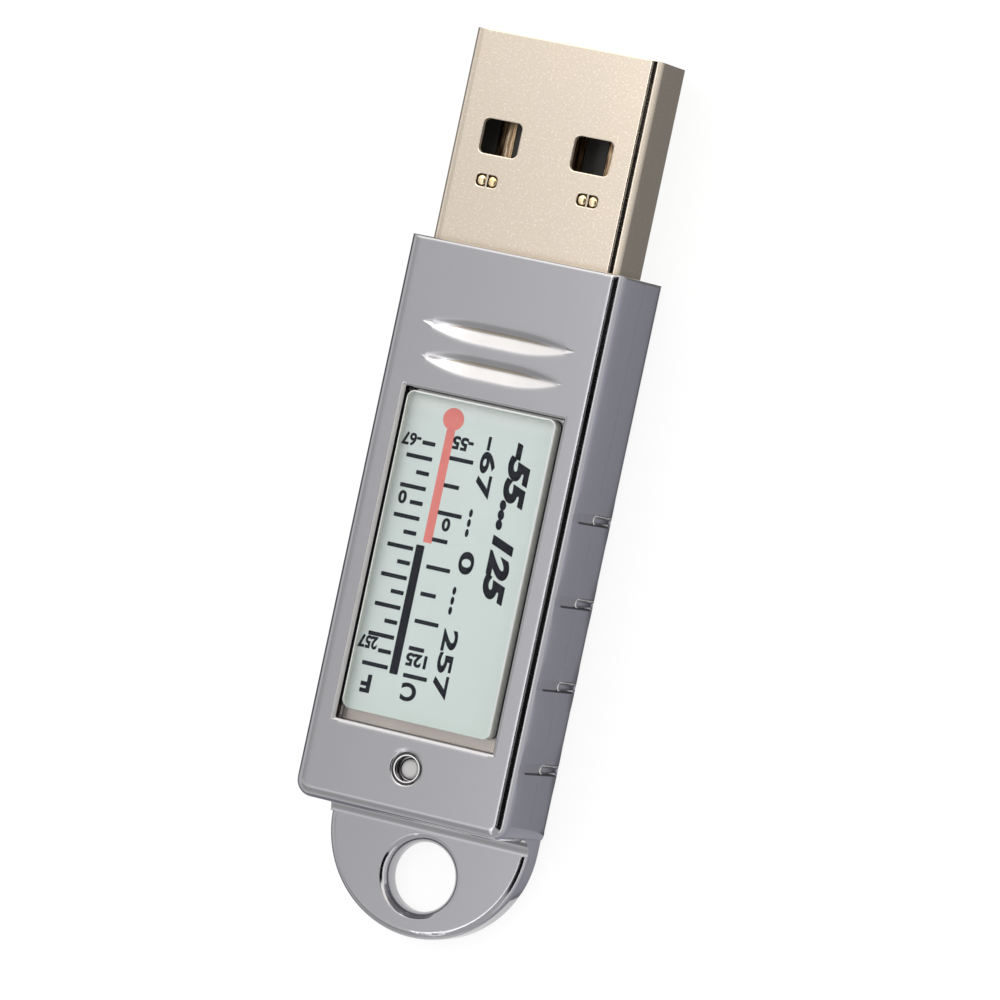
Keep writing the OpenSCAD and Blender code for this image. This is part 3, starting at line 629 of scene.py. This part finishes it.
def make_pad(name, x, y, half):
    """Domed pad that fills most of one half of a tang and narrows towards the tang's end."""
    rings = []
    for inset, rise in PAD_LEVELS:
        ring = []
        for px, py in round_rect(0, 0, PAD_W - 2 * inset, PAD_L - 2 * inset, PAD_R - inset):
            narrow = 1.0 if px * half < 0 else 1.0 - PAD_TAPER * abs(px) / PAD_W
            ring.append((x * MM + px * MM, (y + py * narrow) * MM,
                         (TANG_Z + PAD_H * rise) * MM))
        rings.append(ring)
    mesh = ring_loft(name, rings)
    smooth_sides(mesh)
    piece(name, mesh, pad_gold)


for number, (side, half) in enumerate([(-1, -1), (-1, 1), (1, -1), (1, 1)]):
    make_pad("tang_pad_%d" % (number + 1), side * TANG_X + half * PAD_DX, TANG_Y, half)


# ---------------------------------------------------------------- rims

def tube(name, path, radius, mat, closed=False, across=(1, 0, 0)):
    """Round bead along a flat path; across is square to the path's plane."""
    across = Vector(across)
    turns = [math.radians(a) for a in range(0, 360, 30)]
    rings = []
    for i, at in enumerate(path):
        before = path[i - 1] if i or closed else path[i]
        after = path[(i + 1) % len(path)] if i + 1 < len(path) or closed else path[i]
        outwards = (Vector(after) - Vector(before)).normalized().cross(across)
        rings.append([Vector(at) * MM
                      + (across * math.cos(a) + outwards * math.sin(a)) * radius * MM
                      for a in turns])
    if closed:
        rings.append(rings[0])
    mesh = ring_loft(name, rings, not closed)
    bm = bmesh.new()
    bm.from_mesh(mesh)
    bmesh.ops.remove_doubles(bm, verts=bm.verts, dist=1e-7)
    bmesh.ops.recalc_face_normals(bm, faces=bm.faces)
    bm.to_mesh(mesh)
    bm.free()
    smooth_sides(mesh)
    piece(name, mesh, mat)


# The lamp hole's mouth is edged by a dark bead of painted shade, with a bead of painted
# highlight inside it.
LAMP_HOLE_Y = -16.725
for name, r, z, bead, mat in (("lamp_rim", 0.88, 7.34, 0.045, black_plastic),
                              ("lamp_lip", 0.80, 7.33, 0.04, bare_edge)):
    tube(name, [(x, y, z) for x, y in circle(0, LAMP_HOLE_Y, r)], bead, mat, True,
         (0, 0, 1))

# Each channel under a notch has a bead of painted highlight round its end and along one edge.
RIM_X, RIM_R, RIM_TOP, RIM_LOW, RIM_BEAD = 6.79, 0.24, 3.46, 1.0, 0.055
for number in range(2 * NOTCH_COUNT):
    x = RIM_X if number >= NOTCH_COUNT else -RIM_X
    y = NOTCH_Y + NOTCH_PITCH * (number % NOTCH_COUNT)
    rim = [(x, y + RIM_R, RIM_LOW)]
    for a in range(0, 196, 15):
        rim.append((x, y + RIM_R * math.cos(math.radians(a)),
                    RIM_TOP + RIM_R * math.sin(math.radians(a))))
    tube("notch_rim_%d" % (number + 1), rim, RIM_BEAD, bare_edge)


# ---------------------------------------------------------------- stage and light

def flat_mesh(name, corners):
    mesh = bpy.data.meshes.new(name)
    mesh.from_pydata(corners, [], [(0, 1, 2, 3)])
    return mesh


def built_material(name, build):
    """Material that shows the shader made by build."""
    mat = bpy.data.materials.new(name)
    mat.use_nodes = True
    t = Tree(mat.node_tree)
    t.add("ShaderNodeOutputMaterial", Surface=build(t))
    return mat


def card(name, x0, x1, y0, y1, z, strength, tint=(1, 1, 1), slant=0.0):
    """A light or dark card that only reflections see. Strength and tint may be functions of
    its tree; slant moves its near right corner."""
    mesh = flat_mesh(name, [(x0, y0, z), (x1, y0 + slant, z), (x1, y1, z), (x0, y1, z)])
    obj = add_object(name, mesh)

    def build(t):
        value = strength(t) if callable(strength) else strength
        colour = tint(t) if callable(tint) else tint
        return t.add("ShaderNodeEmission", Color=colour, Strength=value).outputs[0]

    mesh.materials.append(built_material(name, build))
    obj.visible_camera = False
    obj.visible_diffuse = False
    obj.visible_transmission = False
    obj.visible_shadow = False


def along(t, axis, stops):
    """Strength that follows one object coordinate through stops of (metres, strength)."""
    low, high = stops[0][0], stops[-1][0]
    top = max(s for _, s in stops)
    here = t.place()[axis]
    curve = t.add("ShaderNodeFloatCurve", Value=t.span(here, 0, 1, low, high))
    points = curve.mapping.curves[0].points
    for i, (at, s) in enumerate(stops):
        px, py = (at - low) / (high - low), s / top
        if i < 2:
            points[i].location = (px, py)
        else:
            points.new(px, py)
    for p in points:
        p.handle_type = "VECTOR"
    curve.mapping.update()
    return t.math("MULTIPLY", curve.outputs[0], top)


def along_x(stops):
    return lambda t: along(t, 0, stops)


# The sky on the far side of the face, in stops of x and of y.
SKY_X = [(-0.60, 0.66), (-0.40, 0.73), (-0.19, 0.80), (-0.137, 0.88), (-0.122, 1.01),
         (-0.112, 1.03), (-0.100, 1.12), (-0.088, 2.3), (-0.058, 3.2)]
SKY_Y = [(-0.60, 0.80), (-0.20, 0.82), (-0.165, 1.0), (-0.140, 1.34), (-0.100, 1.34),
         (-0.070, 1.0), (-0.040, 0.96), (0.030, 1.02), (0.060, 1.3), (0.120, 2.5),
         (0.200, 2.9), (0.60, 3.0)]
WHITE, WARM, COOL = (1, 1, 1), (1.0, 0.965, 0.90), (0.955, 0.95, 1.06)
WARM_FOOT = (1.0, 0.985, 0.965)


def sky(t):
    return t.math("MULTIPLY", along(t, 0, SKY_X), along(t, 1, SKY_Y))


def sky_tint(t):
    """Warm towards the plug's end and far beyond the lug, neutral elsewhere."""
    y = t.place()[1]
    near = t.blend(t.span(y, 0, 1, 0.04, 0.14), WHITE, WARM)
    return t.blend(t.span(y, 1, 0, -0.26, -0.20), near, WARM_FOOT)


# Cards over the object. The dark one on the camera's side puts the black lines along the
# right edges; the others stand round it and lie a hair under it.
CARD_Z, UNDER_Z, LOWEST_Z = 0.30, 0.2999, 0.2998
DARK_X0, DARK_X1, DARK_Y0, DARK_Y1 = -0.058, 0.35, -0.066, 0.085
REACH = 0.60                        # how far the cards reach out
DARK, BEYOND_LUG = 0.004, 0.80      # strengths
EDGE_LIGHT = [(0.35, 2.0), (0.42, 1.8), (0.55, 1.25), (0.70, 1.15)]

card("card_overhead", -REACH, DARK_X0, -REACH, REACH, CARD_Z, sky, sky_tint)
card("card_camera_side", DARK_X0, DARK_X1, DARK_Y0, DARK_Y1, CARD_Z, DARK)
card("card_straight_up", -0.014, 0.014, DARK_Y0, DARK_Y1, UNDER_Z, 0.6)
card("card_past_plug", DARK_X0, DARK_X1, DARK_Y1, REACH, CARD_Z, 1.2)
card("card_groove_ends", -0.075, 0.30, 0.10, REACH, LOWEST_Z, 2.0, WARM)
card("card_corner", -0.030, DARK_X1, -0.0661, -0.0659, LOWEST_Z, DARK, slant=-0.23)
card("card_far_foot", -2.0, 2.0, -3.0, -REACH, CARD_Z, BEYOND_LUG)
card("card_beyond_lug", DARK_X0, DARK_X1, -REACH, DARK_Y0, CARD_Z, BEYOND_LUG)
card("card_edge_light", DARK_X1, 0.70, -REACH, REACH, CARD_Z, along_x(EDGE_LIGHT))

# Cards on the floor beside the object, as its metal sides see them: stops of x. Dim close to the
# object, they paint the object's shadow on the floor into the reflections.
HOUSING_SIDE = [(0.0069, 0.05), (0.0072, 0.20), (0.0075, 0.43), (0.0094, 0.47),
                (0.0097, 0.56), (0.0125, 0.62), (0.018, 0.74), (0.043, 0.86), (0.090, 1.0)]
PLUG_SIDE = [(0.0060, 0.02), (0.0064, 0.22), (0.0068, 0.25), (0.0085, 0.25), (0.0089, 0.36),
             (0.0120, 0.60), (0.018, 0.74), (0.043, 0.86), (0.090, 1.0)]
LUG_SIDE = [(0.0060, 0.20), (0.0063, 0.45), (0.0070, 0.56), (0.0100, 0.60), (0.018, 0.70),
            (0.043, 0.86), (0.090, 1.0)]
LUG_Y, PLUG_Y, SIDE_REACH = -0.01945, 0.0142, 0.08      # where the three parts' cards end
SIDE_Z = 0.02 * MM

# The side away from the camera's side takes a share of each strength.
for part, y0, y1, near, left_share, tint in (
        ("housing", LUG_Y, PLUG_Y, HOUSING_SIDE, 0.25, COOL),
        ("plug", PLUG_Y, SIDE_REACH, PLUG_SIDE, 0.40, WHITE),
        ("lug", -SIDE_REACH, LUG_Y, LUG_SIDE, 0.6, COOL)):
    first, last = near[0][0], near[-1][0]
    mirrored = [(-x, s * left_share) for x, s in reversed(near)]
    card("card_right_of_" + part, first, last, y0, y1, SIDE_Z, along_x(near), tint)
    card("card_left_of_" + part, -last, -first, y0, y1, SIDE_Z, along_x(mirrored), tint)

FLOOR_HALF, FLOOR_Z = 2, -0.01 * MM
FLOOR_MATTE, FLOOR_GLOW = (0.15, 0.15, 0.15), 0.88
WORLD_LIGHT, WORLD_SEEN = 0.70, 0.30        # strength for all rays, and more where seen
LAMP_AT, LAMP_SIZE, LAMP_WATTS = (-0.15, 0.18, 0.55), 0.5, 1.6


def pale_floor(t):
    """Matte floor that glows evenly where it is seen, and holds a soft shadow."""
    matte = t.add("ShaderNodeBsdfDiffuse", Color=FLOOR_MATTE)
    glow = t.add("ShaderNodeEmission", Color=WHITE,
                 Strength=t.math("MULTIPLY", t.seen(), FLOOR_GLOW))
    return t.add("ShaderNodeAddShader", i0=matte.outputs[0], i1=glow.outputs[0]).outputs[0]


def make_floor():
    mesh = flat_mesh("floor", [(x * FLOOR_HALF, y * FLOOR_HALF, 0)
                               for x, y in ((-1, -1), (1, -1), (1, 1), (-1, 1))])
    floor = add_object("floor", mesh)
    floor.location.z = FLOOR_Z
    mesh.materials.append(built_material("pale_floor", pale_floor))


def make_world():
    world = bpy.data.worlds.new("studio")
    bpy.context.scene.world = world
    world.use_nodes = True
    t = Tree(world.node_tree)
    strength = t.math("ADD", WORLD_LIGHT, t.math("MULTIPLY", t.seen(), WORLD_SEEN))
    back = t.add("ShaderNodeBackground", Color=WHITE, Strength=strength)
    t.add("ShaderNodeOutputWorld", Surface=back.outputs[0])


def make_lamp():
    data = bpy.data.lights.new("soft_lamp", "AREA")
    data.shape = "RECTANGLE"
    data.size = LAMP_SIZE
    data.size_y = LAMP_SIZE
    data.energy = LAMP_WATTS
    lamp = add_object("soft_lamp", data)
    lamp.location = LAMP_AT
    lamp.rotation_euler = (-lamp.location).to_track_quat("-Z", "Y").to_euler()
    lamp.visible_glossy = False


make_floor()
make_world()
make_lamp()
